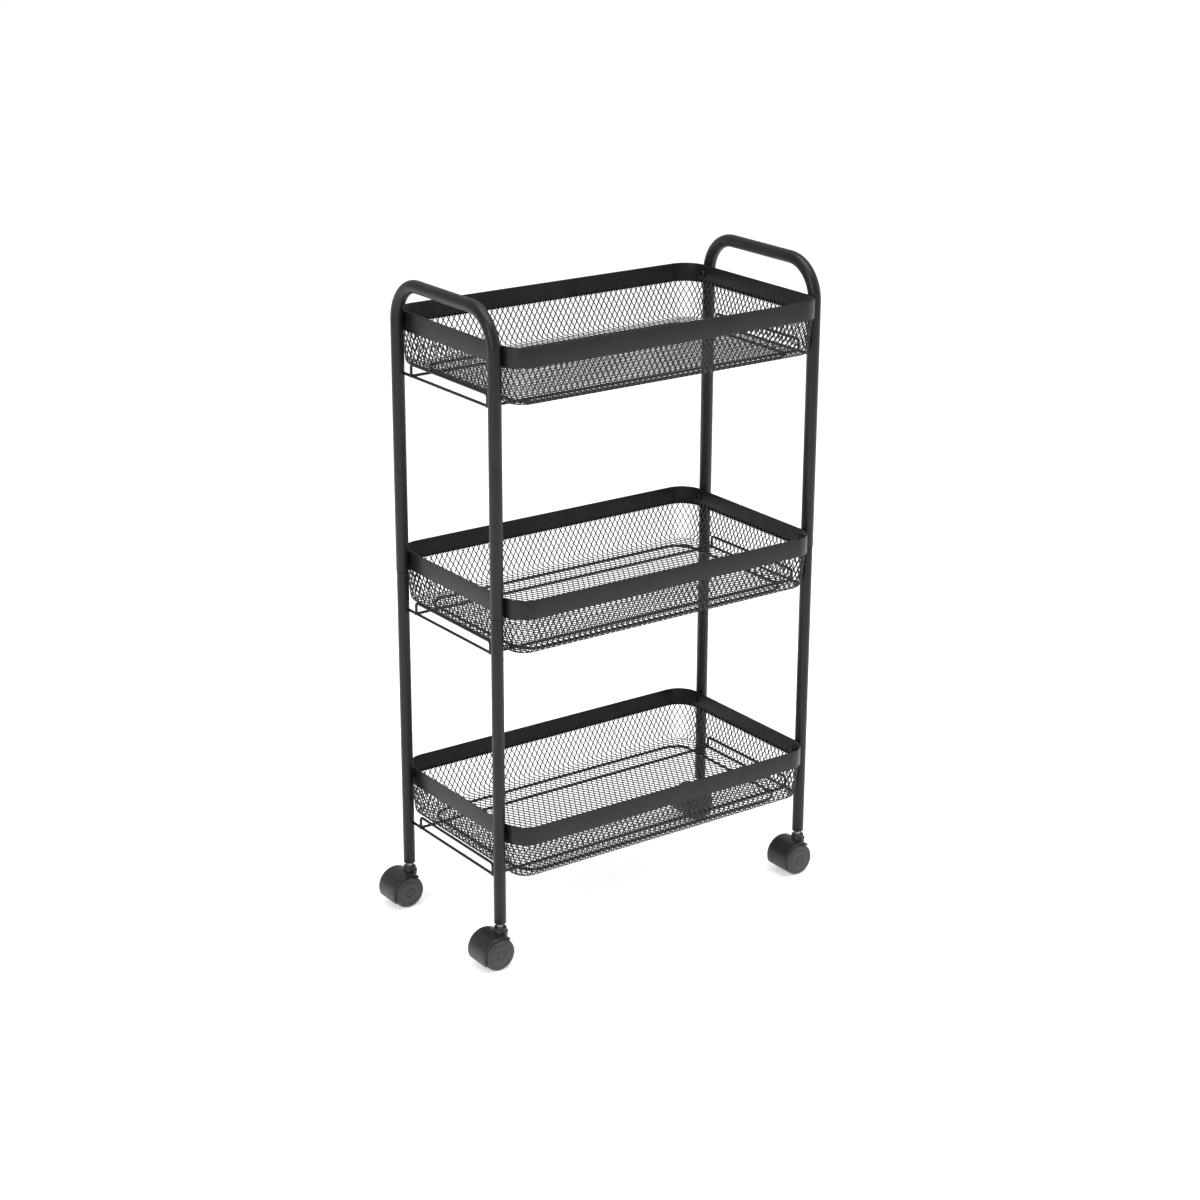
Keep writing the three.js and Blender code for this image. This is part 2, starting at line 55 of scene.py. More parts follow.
def hex_colour(code):
    """An sRGB hex colour as the linear values that a shader takes."""
    levels = [int(code[i:i + 2], 16) / 255 for i in (1, 3, 5)]
    return (*[v / 12.92 if v <= 0.04045 else ((v + 0.055) / 1.055) ** 2.4 for v in levels], 1.0)


def new_finish(name, **look):
    """A material and its Principled shader, with even values set on the shader's own sockets."""
    finish = bpy.data.materials.new(name)
    finish.use_nodes = True
    shader = finish.node_tree.nodes["Principled BSDF"]
    for socket, value in look.items():
        shader.inputs[socket.replace("_", " ")].default_value = value
    return finish, shader


def add_node(finish, kind, settings=None, feeds=(), into=()):
    """Add a node: feeds are (input, node, output), and into are (node, input, output)."""
    node = finish.node_tree.nodes.new(kind)
    for key, value in (settings or {}).items():
        if key in node.inputs:
            node.inputs[key].default_value = value
        else:
            setattr(node, key, value)
    for socket, source, output in feeds:
        finish.node_tree.links.new(source.outputs[output], node.inputs[socket])
    for target, socket, output in into:
        finish.node_tree.links.new(node.outputs[output], target.inputs[socket])
    return node


def powder_coat(name, dark, light, grain_mm):
    """Baked polyester powder: satin, with the fine ripple of orange peel and uneven gloss."""
    finish, shader = new_finish(name, Specular_IOR_Level=0.3)
    place = add_node(finish, "ShaderNodeTexCoord")
    # Uneven cure over a hand's breadth, which shows as a faint warm cloudiness
    clouds = add_node(
        finish, "ShaderNodeTexNoise", {"Scale": 1 / 0.045, "Detail": 3.0, "Roughness": 0.6},
        [("Vector", place, "Object")],
    )
    tint = add_node(finish, "ShaderNodeValToRGB", None, [("Fac", clouds, "Fac")],
                    [(shader, "Base Color", "Color")])
    tint.color_ramp.elements[0].position = 0.32
    tint.color_ramp.elements[0].color = hex_colour(dark)
    tint.color_ramp.elements[1].position = 0.72
    tint.color_ramp.elements[1].color = hex_colour(light)
    # The real ripple is about 1 mm across; it is drawn a little coarser so that it shows
    peel = add_node(
        finish, "ShaderNodeTexNoise", {"Scale": 1000 / grain_mm, "Detail": 2.0, "Roughness": 0.5},
        [("Vector", place, "Object")],
    )
    add_node(
        finish, "ShaderNodeMapRange",
        {"From Min": 0.3, "From Max": 0.7, "To Min": 0.3, "To Max": 0.44},
        [("Value", peel, "Fac")], [(shader, "Roughness", "Result")],
    )
    add_node(finish, "ShaderNodeBump", {"Strength": 0.35, "Distance": 0.00012},
             [("Height", peel, "Fac")], [(shader, "Normal", "Normal")])
    return finish


tube_coat = powder_coat("satin black powder coat on tube", "#0f0e0d", "#191715", 2.2)


def pick(piece, kind, wanted):
    """Select only the corners, edges or faces for which wanted(element) is true, in edit mode."""
    bpy.ops.object.mode_set(mode="OBJECT")
    bpy.context.tool_settings.mesh_select_mode = (kind == "VERT", kind == "EDGE", kind == "FACE")
    shape = piece.data
    for group in (shape.vertices, shape.edges, shape.polygons):
        group.foreach_set("select", [False] * len(group))
    elements = {"VERT": shape.vertices, "EDGE": shape.edges, "FACE": shape.polygons}[kind]
    for element in elements:
        element.select = wanted(element)
    bpy.ops.object.mode_set(mode="EDIT")


def only(piece):
    """Leave edit mode with this piece alone selected and active."""
    if bpy.context.object and bpy.context.object.mode == "EDIT":
        bpy.ops.object.mode_set(mode="OBJECT")
    bpy.ops.object.select_all(action="DESELECT")
    piece.select_set(True)
    bpy.context.view_layer.objects.active = piece


def face_outwards(piece):
    """Close seams, then turn every face outwards."""
    only(piece)
    bpy.ops.object.mode_set(mode="EDIT")
    bpy.ops.mesh.select_all(action="SELECT")
    bpy.ops.mesh.remove_doubles(threshold=0.00001)
    bpy.ops.mesh.normals_make_consistent(inside=False)
    bpy.ops.object.mode_set(mode="OBJECT")


def modify(piece, kind, **settings):
    """Add a modifier and apply it at once."""
    only(piece)
    modifier = piece.modifiers.new(kind.title(), kind)
    for key, value in settings.items():
        setattr(modifier, key, value)
    bpy.ops.object.modifier_apply(modifier=modifier.name)


def ring_of_points(name, radius, sides, place, heading=(0, 0, 1)):
    """The circle that a tube, wire or turned piece grows from, selected in edit mode."""
    if bpy.context.object and bpy.context.object.mode == "EDIT":
        bpy.ops.object.mode_set(mode="OBJECT")
    bpy.ops.object.select_all(action="DESELECT")
    facing = Vector(heading).to_track_quat("Z", "Y").to_euler()
    bpy.ops.mesh.primitive_circle_add(
        vertices=sides, radius=radius, location=place, rotation=facing,
    )
    piece = bpy.context.object
    piece.name = name
    bpy.ops.object.transform_apply(location=True, rotation=True, scale=True)
    bpy.ops.object.mode_set(mode="EDIT")
    bpy.ops.mesh.select_all(action="SELECT")
    return piece


def bent_rod(name, corners, bend, radius, sides, ends="capped"):
    """A ring of points pulled along each straight run and spun round each bend between corners."""
    corners = [Vector(corner) for corner in corners]
    here = corners[0]
    rod = ring_of_points(name, radius, sides, here, corners[1] - corners[0])
    for last, corner, following in zip(corners, corners[1:], corners[2:]):
        before = (corner - last).normalized()
        after = (following - corner).normalized()
        turn = before.angle(after)
        setback = bend * math.tan(turn / 2)
        stop = corner - before * setback
        axis = before.cross(after).normalized()
        centre = stop + axis.cross(before) * bend
        bpy.ops.mesh.extrude_edges_move(TRANSFORM_OT_translate={"value": stop - here})
        steps = max(4, round(math.degrees(turn) / 7.5))
        bpy.ops.mesh.spin(steps=steps, angle=-turn, center=centre, axis=axis)
        here = corner + after * setback
    bpy.ops.mesh.extrude_edges_move(TRANSFORM_OT_translate={"value": corners[-1] - here})
    if ends == "capped":
        bpy.ops.mesh.edge_face_add()
        pick(rod, "VERT", lambda corner: corner.index < sides)
        bpy.ops.mesh.edge_face_add()
    face_outwards(rod)
    return rod


def smooth(piece, degrees=35):
    only(piece)
    bpy.ops.object.shade_smooth_by_angle(angle=math.radians(degrees))


def dress(piece, finish, slot, body, *nodes):
    """Give a finished piece its material and body, in place of these CAD nodes; slot is not used.
    """
    piece.data.materials.clear()
    piece.data.materials.append(finish)
    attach(piece, body)
    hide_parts(*nodes)


legs = {}  # (side, end) to the leg's centre line, x and y
for end in ENDS:
    low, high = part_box(f"upper_frame_{end}")
    tube_radius = (high.x - low.x) / 2
    x = (low.x + high.x) / 2
    front, rear = low.y + tube_radius, high.y - tube_radius
    legs["front", end] = (x, front)
    legs["rear", end] = (x, rear)
    crest = high.z - tube_radius
    handle = bent_rod(
        f"handle_frame_{end}",
        [(x, front, low.z), (x, front, crest), (x, rear, crest), (x, rear, low.z)],
        HANDLE_BEND, tube_radius, TUBE_SIDES, ends="open",
    )
    modify(handle, "SOLIDIFY", thickness=TUBE_WALL, offset=-1, use_even_offset=True)
    modify(
        handle, "BEVEL", width=0.0003, segments=2, limit_method="ANGLE", angle_limit=SHARP_EDGE,
    )
    smooth(handle)
    dress(handle, tube_coat, "powder_coat", "cart_frame", f"upper_frame_{end}")

# ---- Lower legs ------------------------------------------------------------------------------
# Straight 14 mm tube whose swaged top pushes up into the upper leg, so a fine step shows just
# under the middle basket. The open lower end is turned in slightly round the caster's socket.

LEG_SPIGOT_RADIUS = 0.0062
LEG_SWAGE = 0.0003  # the slope from the leg's full width to the spigot


def turned(name, profile, sides, ends="capped"):
    """A ring of points lifted and resized from one (radius, height) of the profile to the next."""
    (radius, height), *others = profile
    piece = ring_of_points(name, radius, sides, (0, 0, height))
    for next_radius, next_height in others:
        bpy.ops.mesh.extrude_edges_move(
            TRANSFORM_OT_translate={"value": (0, 0, next_height - height)}
        )
        scale = next_radius / radius
        bpy.ops.transform.resize(value=(scale, scale, 1), center_override=(0, 0, next_height))
        radius, height = next_radius, next_height
    if ends == "capped":
        bpy.ops.mesh.edge_face_add()
        pick(piece, "VERT", lambda corner: corner.index < sides)
        bpy.ops.mesh.edge_face_add()
    face_outwards(piece)
    return piece


for (side, end), (x, y) in legs.items():
    low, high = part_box(f"lower_leg_{side}_{end}")
    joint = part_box(f"upper_frame_{end}")[0].z - LEG_SWAGE
    leg_radius = (high.x - low.x) / 2
    leg = turned(
        f"leg_{side}_{end}",
        [
            (leg_radius, low.z),
            (leg_radius, joint - 0.0004),
            (leg_radius - 0.0003, joint),
            (LEG_SPIGOT_RADIUS, joint + LEG_SWAGE),
            (LEG_SPIGOT_RADIUS, high.z),
        ],
        TUBE_SIDES, ends="open",
    )
    modify(leg, "SOLIDIFY", thickness=TUBE_WALL, offset=-1, use_even_offset=True)
    modify(
        leg, "BEVEL", width=0.00045, segments=3, limit_method="ANGLE", angle_limit=SHARP_EDGE,
    )
    leg.data.transform(Matrix.Translation((x, y, 0)))
    smooth(leg)
    dress(leg, tube_coat, "powder_coat", "cart_frame", f"lower_leg_{side}_{end}")

# ---- Rim bands -------------------------------------------------------------------------------
# Flat steel strip, 22.5 by 1.2 mm, bent round four corners and butt welded into a closed band.
# Its sheared edges are dressed round, and catch a thin line of light under the coating.

TIERS = ("top", "middle", "bottom")
BAND_THICKNESS = 0.0012
BAND_CORNER = 0.028

band_coat = powder_coat("satin black powder coat on strip", "#14110f", "#1e1a18", 2.6)



def rounded_block(name, low, high, corner_radius):
    """A block between two opposite corners, with its four upright edges rounded."""
    bpy.ops.object.select_all(action="DESELECT")
    bpy.ops.mesh.primitive_cube_add(size=1, location=(low + high) / 2, scale=high - low)
    block = bpy.context.object
    block.name = name
    bpy.ops.object.transform_apply(location=True, rotation=True, scale=True)
    points = block.data.vertices
    pick(block, "EDGE", lambda edge: (
        (points[edge.vertices[0]].co - points[edge.vertices[1]].co).xy.length < 1e-6
    ))
    bpy.ops.mesh.bevel(
        offset=corner_radius, offset_type="OFFSET", segments=14, profile=0.5, affect="EDGES",
    )
    bpy.ops.object.mode_set(mode="OBJECT")
    return block


for tier in TIERS:
    low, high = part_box(f"rim_band_{tier}")
    band = rounded_block(f"band_{tier}", low, high, BAND_CORNER)
    pick(band, "FACE", lambda face: abs(face.normal.z) > 0.9)
    bpy.ops.mesh.delete(type="ONLY_FACE")
    face_outwards(band)
    modify(band, "SOLIDIFY", thickness=BAND_THICKNESS, offset=-1, use_even_offset=True)
    modify(
        band, "BEVEL", width=0.0004, segments=3, limit_method="ANGLE", angle_limit=SHARP_EDGE,
    )
    smooth(band)
    dress(band, band_coat, "powder_coat", "cart_frame", f"rim_band_{tier}")

# ---- Mesh trays ------------------------------------------------------------------------------
# Expanded steel, 0.9 mm thick, in diamonds 7.4 by 12.8 mm that stand upright all round the walls.
# Each tray is pressed to shape, with an 8 mm bend from its steep walls into the flat floor.

DIAMOND_ACROSS = 0.0074
DIAMOND_ALONG = 0.0128
STRAND_WIDTH = 0.0010
SHEET_THICKNESS = 0.0009
WALL_SLOPE = math.radians(6)  # from upright
FLOOR_BEND = 0.008
TOUCH_GAP = 0.0003  # between pieces that touch on the real cart
TRAY_CORNER = BAND_CORNER - BAND_THICKNESS - TOUCH_GAP
LIP_HEIGHT = 0.004
LIP_TRIM = 0.0005  # the sheet's cut edge stops this far short of the lip's full height

mesh_coat = powder_coat("black powder coat on expanded steel", "#161413", "#242120", 1.8)

low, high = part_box("mesh_tray_top")
core_x = (high.x - low.x) / 2 - TRAY_CORNER
core_y = (high.y - low.y) / 2 - TRAY_CORNER
quarter = TRAY_CORNER * math.pi / 2
half_girth = 2 * (core_x + core_y + quarter)
bend_turn = math.pi / 2 - WALL_SLOPE
bend_length = FLOOR_BEND * bend_turn
bend_out = FLOOR_BEND * math.sin(bend_turn)
bend_up = FLOOR_BEND * (1 - math.cos(bend_turn))
slope_up = high.z - low.z - LIP_HEIGHT - bend_up
slope_length = slope_up / math.cos(WALL_SLOPE)
floor_inset = bend_out + slope_up * math.tan(WALL_SLOPE)
floor_corner = TRAY_CORNER - floor_inset
wall_length = bend_length + slope_length + LIP_HEIGHT - LIP_TRIM


def pressed(distance):
    """How far out and up from the floor's edge a point lies, by its way along the sheet."""
    if distance < bend_length:
        turn = distance / FLOOR_BEND
        return FLOOR_BEND * math.sin(turn), FLOOR_BEND * (1 - math.cos(turn))
    past_bend = distance - bend_length
    if past_bend < slope_length:
        out = bend_out + past_bend * math.sin(WALL_SLOPE)
        return out, bend_up + past_bend * math.cos(WALL_SLOPE)
    return floor_inset, bend_up + slope_up + past_bend - slope_length


def wrapped(point):
    """Carry a point of the flat strip to the tray: x runs round it from the front, y runs up it."""
    out, up = pressed(point.y)
    radius = floor_corner + out
    way = abs(point.x)
    if way < core_x:
        x, y = way, -core_y - radius
    elif way < core_x + quarter:
        turn = (way - core_x) / TRAY_CORNER
        x, y = core_x + radius * math.sin(turn), -core_y - radius * math.cos(turn)
    elif way < core_x + quarter + 2 * core_y:
        x, y = core_x + radius, way - core_x - quarter - core_y
    elif way < core_x + 2 * quarter + 2 * core_y:
        turn = (way - core_x - quarter - 2 * core_y) / TRAY_CORNER
        x, y = core_x + radius * math.cos(turn), core_y + radius * math.sin(turn)
    else:
        x, y = half_girth - way, core_y + radius
    return Vector((math.copysign(x, point.x), y, up))


def lattice(name, columns, rows, across, along):
    """A flat sheet of diamonds, this many across and along, centred on the origin."""
    bpy.ops.object.select_all(action="DESELECT")
    bpy.ops.mesh.primitive_grid_add(x_subdivisions=columns + 2, y_subdivisions=rows + 2, size=1)
    sheet = bpy.context.object
    sheet.name = name
    sheet.scale = ((columns + 2) * across, (rows + 2) * along, 1)
    bpy.ops.object.transform_apply(location=True, rotation=True, scale=True)
    bpy.ops.object.mode_set(mode="EDIT")
    bpy.ops.mesh.select_all(action="SELECT")
    bpy.ops.mesh.poke()
    points = sheet.data.vertices
    pick(sheet, "EDGE", lambda edge: min(
        abs(points[edge.vertices[0]].co.x - points[edge.vertices[1]].co.x),
        abs(points[edge.vertices[0]].co.y - points[edge.vertices[1]].co.y),
    ) < 0.0005)
    bpy.ops.mesh.dissolve_edges(use_verts=False, use_face_split=False)
    bpy.context.tool_settings.mesh_select_mode = (False, False, True)
    bpy.ops.mesh.select_all(action="SELECT")
    bpy.ops.mesh.inset(thickness=STRAND_WIDTH / 2, use_individual=True, use_even_offset=True)
    bpy.ops.mesh.delete(type="FACE")
    # The grid's own outline is half diamonds, which these four cuts take away
    for facing in ((1, 0, 0), (-1, 0, 0), (0, 1, 0), (0, -1, 0)):
        bpy.ops.mesh.select_all(action="SELECT")
        edge = (facing[0] * columns * across / 2, facing[1] * rows * along / 2, 0)
        bpy.ops.mesh.bisect(plane_co=edge, plane_no=facing, use_fill=False, clear_outer=True)
    bpy.ops.object.mode_set(mode="OBJECT")
    return sheet


# The wall is a strip of whole diamonds that is wrapped round the tray and closed at the back
columns = 2 * round(half_girth / DIAMOND_ACROSS)
across = 2 * half_girth / columns
rows = round(wall_length / DIAMOND_ALONG)
wall = lattice("tray_wall", columns, rows, across, wall_length / rows)
wall.data.transform(Matrix.Translation((0, wall_length / 2, 0)))
points = wall.data.vertices
pick(wall, "EDGE", lambda edge: (
    (points[edge.vertices[0]].co - points[edge.vertices[1]].co).length > 2 * STRAND_WIDTH
    and min(points[edge.vertices[0]].co.y, points[edge.vertices[1]].co.y) < bend_length
))
bpy.ops.mesh.subdivide(number_cuts=2)
bpy.ops.object.mode_set(mode="OBJECT")
for point in wall.data.vertices:
    point.co = wrapped(point.co)
face_outwards(wall)
modify(wall, "SOLIDIFY", thickness=SHEET_THICKNESS, offset=-1)

# The floor's diamonds meet the wall's along both long sides, and are cut to its rounded outline
floor_x, floor_y = core_x + floor_corner, core_y + floor_corner
floor_rows = round(2 * floor_y / DIAMOND_ALONG)
floor_columns = 2 * math.ceil(floor_x / across)
sheet = lattice("tray_floor", floor_columns, floor_rows, across, 2 * floor_y / floor_rows)
modify(sheet, "SOLIDIFY", thickness=SHEET_THICKNESS, offset=1)
outline = rounded_block(
    "floor_outline",
    Vector((-floor_x, -floor_y, -0.002)), Vector((floor_x, floor_y, 0.002)),
    floor_corner,
)
modify(sheet, "BOOLEAN", operation="INTERSECT", solver="MANIFOLD", object=outline)
bpy.data.objects.remove(outline)
only(sheet)
wall.select_set(True)
bpy.ops.object.join()

for tier in TIERS:
    low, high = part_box(f"mesh_tray_{tier}")
    tray = sheet.copy()
    tray.data = sheet.data.copy()
    tray.name = f"tray_{tier}"
    bpy.context.scene.collection.objects.link(tray)
    tray.data.transform(Matrix.Translation(((low.x + high.x) / 2, (low.y + high.y) / 2, low.z)))
    dress(tray, mesh_coat, "tray_mesh", "cart_frame", f"mesh_tray_{tier}")
bpy.data.objects.remove(sheet)

# ---- Wire frames -----------------------------------------------------------------------------
# Drawn steel wire, 3.4 mm, under each tray: a rounded ring, two long runners spot welded under
# it, and at each end a wire that joins the two legs with a staple standing on it.

WIRE_RADIUS = 0.0017
WIRE_SIDES = 14
WIRE_SINK = 0.0004  # how far crossing wires sink into each other where they are welded
RING_INSET = 0.025  # ring's centre line from the band's outer face
RING_CORNER = 0.024
RUNNER_INSET = 0.021  # from the legs' centre line
STAPLE_HEIGHT = 0.0135
STAPLE_BEND = 0.004

wire_coat = powder_coat("black powder coat on drawn wire", "#100f0e", "#1b1918", 1.8)

for tier in TIERS:
    low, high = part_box(f"wire_frame_{tier}")
    band_low, band_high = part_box(f"rim_band_{tier}")
    middle_x = (band_low.x + band_high.x) / 2
    runner_z = low.z + WIRE_RADIUS
    ring_z = runner_z + 2 * WIRE_RADIUS - WIRE_SINK
    left, right = band_low.x + RING_INSET, band_high.x - RING_INSET
    front, rear = band_low.y + RING_INSET, band_high.y - RING_INSET
    wires = [bent_rod(
        f"ring_{tier}",
        [
            (middle_x, front, ring_z), (right, front, ring_z), (right, rear, ring_z),
            (left, rear, ring_z), (left, front, ring_z), (middle_x, front, ring_z),
        ],
        RING_CORNER, WIRE_RADIUS, WIRE_SIDES, ends="joined",
    )]
    runner_y = legs["rear", "left"][1] - RUNNER_INSET
    for y in (-runner_y, runner_y):
        wires.append(bent_rod(
            "runner", [(low.x, y, runner_z), (high.x, y, runner_z)], 0, WIRE_RADIUS, WIRE_SIDES,
        ))
    for x in (low.x + WIRE_RADIUS, high.x - WIRE_RADIUS):
        wires.append(bent_rod(
            "end_wire", [(x, low.y, runner_z), (x, high.y, runner_z)], 0, WIRE_RADIUS, WIRE_SIDES,
        ))
        staple_z = runner_z + STAPLE_HEIGHT
        wires.append(bent_rod(
            "staple",
            [
                (x, -runner_y, runner_z), (x, -runner_y, staple_z),
                (x, runner_y, staple_z), (x, runner_y, runner_z),
            ],
            STAPLE_BEND, WIRE_RADIUS, WIRE_SIDES,
        ))
    only(wires[0])
    for wire in wires:
        wire.select_set(True)
    bpy.ops.object.join()
    wires[0].name = f"support_wires_{tier}"
    smooth(wires[0], 50)
    dress(wires[0], wire_coat, "support_wire", "cart_frame", f"wire_frame_{tier}")

# ---- Basket bolts ----------------------------------------------------------------------------
# M5 button-head screws in black, from inside the basket through the band into each leg. Only
# the head shows, with a hexagon socket in its crown.

BOLT_SHANK = 0.0025
BOLT_HEAD = 0.0045
BOLT_HEAD_HEIGHT = 0.0024

screw_black, screw_shader = new_finish(
    "black oxide on steel screw", Base_Color=hex_colour("#1d1b1b"), Metallic=0.6,
)
screw_place = add_node(screw_black, "ShaderNodeTexCoord")
# Rolled steel keeps fine pits under the oxide, here a third of a millimetre apart
screw_pits = add_node(screw_black, "ShaderNodeTexNoise", {"Scale": 3000.0, "Detail": 2.0},
                      [("Vector", screw_place, "Object")])
add_node(screw_black, "ShaderNodeMapRange", {"To Min": 0.28, "To Max": 0.48},
         [("Value", screw_pits, "Fac")], [(screw_shader, "Roughness", "Result")])

low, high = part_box("bolt_top_front_left")
bolt_length = high.x - low.x
bolt = turned(
    "button_head_bolt",
    [
        (BOLT_HEAD * 0.52, 0.0),
        (BOLT_HEAD * 0.78, 0.00035),
        (BOLT_HEAD * 0.94, 0.0010),
        (BOLT_HEAD, 0.0018),
        (BOLT_HEAD, BOLT_HEAD_HEIGHT),
        (BOLT_SHANK, BOLT_HEAD_HEIGHT),
        (BOLT_SHANK, bolt_length - 0.0006),
        (BOLT_SHANK * 0.78, bolt_length),
    ],
    24,
)
pick(bolt, "FACE", lambda face: len(face.vertices) == 24 and face.center.z < 0.0001)
bpy.ops.mesh.delete(type="ONLY_FACE")
only(bolt)
socket_wall = turned("hexagon_socket", [(0.0017, 0.0), (0.0017, 0.0013)], 6, ends="open")
pick(socket_wall, "VERT", lambda corner: corner.co.z > 0.001)
bpy.ops.mesh.edge_face_add()
only(bolt)
socket_wall.select_set(True)
bpy.ops.object.join()
pick(bolt, "VERT", lambda corner: corner.co.z < 0.0001)
bpy.ops.mesh.bridge_edge_loops()
face_outwards(bolt)
smooth(bolt, 30)


def placed_copy(piece, name, place):
    """A copy with its own mesh, moved and turned into place."""
    twin = piece.copy()
    twin.data = piece.data.copy()
    twin.name = name
    bpy.context.scene.collection.objects.link(twin)
    twin.data.transform(place)
    return twin


for tier in TIERS:
    for (side, end), (x, y) in legs.items():
        node = f"bolt_{tier}_{side}_{end}"
        low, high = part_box(node)
        height = (low.z + high.z) / 2
        if end == "right":
            place = Matrix.Translation((low.x, y, height)) @ Matrix.Rotation(math.pi / 2, 4, "Y")
        else:
            place = Matrix.Translation((high.x, y, height)) @ Matrix.Rotation(-math.pi / 2, 4, "Y")
        twin = placed_copy(bolt, f"screw_{tier}_{side}_{end}", place)
        dress(twin, screw_black, "powder_coat", "cart_frame", node)
bpy.data.objects.remove(bolt)

# ---- Caster sockets --------------------------------------------------------------------------
# Moulded nylon plugs driven into the legs' open ends. Only the thin flange shows, flush with the
# tube; the sleeve above it grips the caster's stem.

SOCKET_BORE = 0.0043
SOCKET_SLEEVE = 0.0057


def moulded(name, dark, light, roughness, grain_mm, relief):
    """Injection-moulded plastic: an even colour under a fine eroded grain, with light scuffs."""
    finish, shader = new_finish(name, Specular_IOR_Level=0.45)
    place = add_node(finish, "ShaderNodeTexCoord")
    scuffs = add_node(
        finish, "ShaderNodeTexNoise", {"Scale": 1 / 0.006, "Detail": 5.0, "Roughness": 0.65},
        [("Vector", place, "Object")],
    )
    tint = add_node(finish, "ShaderNodeValToRGB", None, [("Fac", scuffs, "Fac")],
                    [(shader, "Base Color", "Color")])
    tint.color_ramp.elements[0].position = 0.35
    tint.color_ramp.elements[0].color = hex_colour(dark)
    tint.color_ramp.elements[1].position = 0.75
    tint.color_ramp.elements[1].color = hex_colour(light)
    add_node(
        finish, "ShaderNodeMapRange",
        {"From Min": 0.3, "From Max": 0.75,
         "To Min": roughness - 0.06, "To Max": roughness + 0.1},
        [("Value", scuffs, "Fac")], [(shader, "Roughness", "Result")],
    )
    grain = add_node(finish, "ShaderNodeTexNoise", {"Scale": 1000 / grain_mm, "Detail": 1.0},
                     [("Vector", place, "Object")])
    add_node(finish, "ShaderNodeBump", {"Strength": 0.4, "Distance": relief},
             [("Height", grain, "Fac")], [(shader, "Normal", "Normal")])
    return finish


nylon = moulded("black moulded nylon", "#131313", "#1e1e1f", 0.34, 0.9, 0.00006)

low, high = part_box("caster_socket_front_left")
flange_radius = (high.x - low.x) / 2
flange_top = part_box("lower_leg_front_left")[0].z - TOUCH_GAP
plug = turned(
    "leg_plug",
    [
        (SOCKET_BORE, low.z),
        (flange_radius - 0.0012, low.z),
        (flange_radius - 0.0003, low.z + 0.0004),
        (flange_radius, low.z + 0.0009),
        (flange_radius, flange_top),
        (SOCKET_SLEEVE, flange_top),
        (SOCKET_SLEEVE, high.z),
        (SOCKET_BORE, high.z),
        (SOCKET_BORE, low.z),
    ],
    32, ends="joined",
)
smooth(plug, 40)
for (side, end), (x, y) in legs.items():
    twin = placed_copy(plug, f"plug_{side}_{end}", Matrix.Translation((x, y, 0)))
    dress(twin, nylon, "black_plastic", "cart_frame", f"caster_socket_{side}_{end}")
bpy.data.objects.remove(plug)

# ---- Caster stems ----------------------------------------------------------------------------
# Turned steel pins with bright zinc plate. About 4.5 mm shows between the caster's neck and the
# leg; a raised ring near the top holds in the socket.

zinc, zinc_shader = new_finish("bright zinc plate on turned steel", Metallic=1.0)
zinc_place = add_node(zinc, "ShaderNodeTexCoord")
# Zinc dulls in soft patches a few millimetres across
zinc_patches = add_node(zinc, "ShaderNodeTexNoise", {"Scale": 1 / 0.003, "Detail": 3.0},
                        [("Vector", zinc_place, "Object")])
zinc_tint = add_node(zinc, "ShaderNodeValToRGB", None, [("Fac", zinc_patches, "Fac")],
                     [(zinc_shader, "Base Color", "Color")])
zinc_tint.color_ramp.elements[0].color = hex_colour("#c6c9cd")
zinc_tint.color_ramp.elements[1].color = hex_colour("#e6e8ea")
add_node(zinc, "ShaderNodeMapRange", {"To Min": 0.3, "To Max": 0.5},
         [("Value", zinc_patches, "Fac")], [(zinc_shader, "Roughness", "Result")])
# Turning marks: rings round the stem, drawn 0.4 mm apart so that they show
zinc_rings = add_node(
    zinc, "ShaderNodeTexWave",
    {"bands_direction": "Z", "Scale": 2500 / 6.2832, "Distortion": 0.4},
    [("Vector", zinc_place, "Object")],
)
add_node(zinc, "ShaderNodeBump", {"Strength": 0.2, "Distance": 0.00005},
         [("Height", zinc_rings, "Fac")], [(zinc_shader, "Normal", "Normal")])

low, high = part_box("caster_stem_front_left")
stem = turned(
    "stem",
    [
        (0.0030, low.z),
        (0.0035, low.z + 0.0005),
        (0.0035, high.z - 0.0070),
        (0.0040, high.z - 0.0060),
        (0.0040, high.z - 0.0040),
        (0.0035, high.z - 0.0030),
        (0.0025, high.z),
    ],
    32,
)
smooth(stem, 30)
for (side, end), (x, y) in legs.items():
    twin = placed_copy(stem, f"stem_{side}_{end}", Matrix.Translation((x, y, 0)))
    dress(twin, zinc, "zinc_steel", "cart_frame", f"caster_stem_{side}_{end}")
    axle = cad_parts[f"caster_axle_{side}_{end}"]
    axle.data.materials.clear()
    axle.data.materials.append(zinc)
bpy.data.objects.remove(stem)

# ---- Caster housings -------------------------------------------------------------------------
# One black nylon moulding: a wall between the wheels, a crowned hood over the tops and backs of
# both treads, and a collar that the stem turns in.

HOOD_WALL = 0.0016
HOOD_FRONT = math.radians(54)
HOOD_BACK = math.radians(205)
WEB_HALF = 0.005

low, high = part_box("caster_housing_front_left")
wheel_low, wheel_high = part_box("wheel_front_of_front_left")
stem_x, stem_y = legs["front", "left"]
trail = stem_x - (wheel_low.x + wheel_high.x) / 2
axle_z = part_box("caster_axle_front_left")
axle_z = (axle_z[0].z + axle_z[1].z) / 2
hood_radius = (-trail + stem_x) - low.x
half_width = (high.y - low.y) / 2
neck_top = high.z


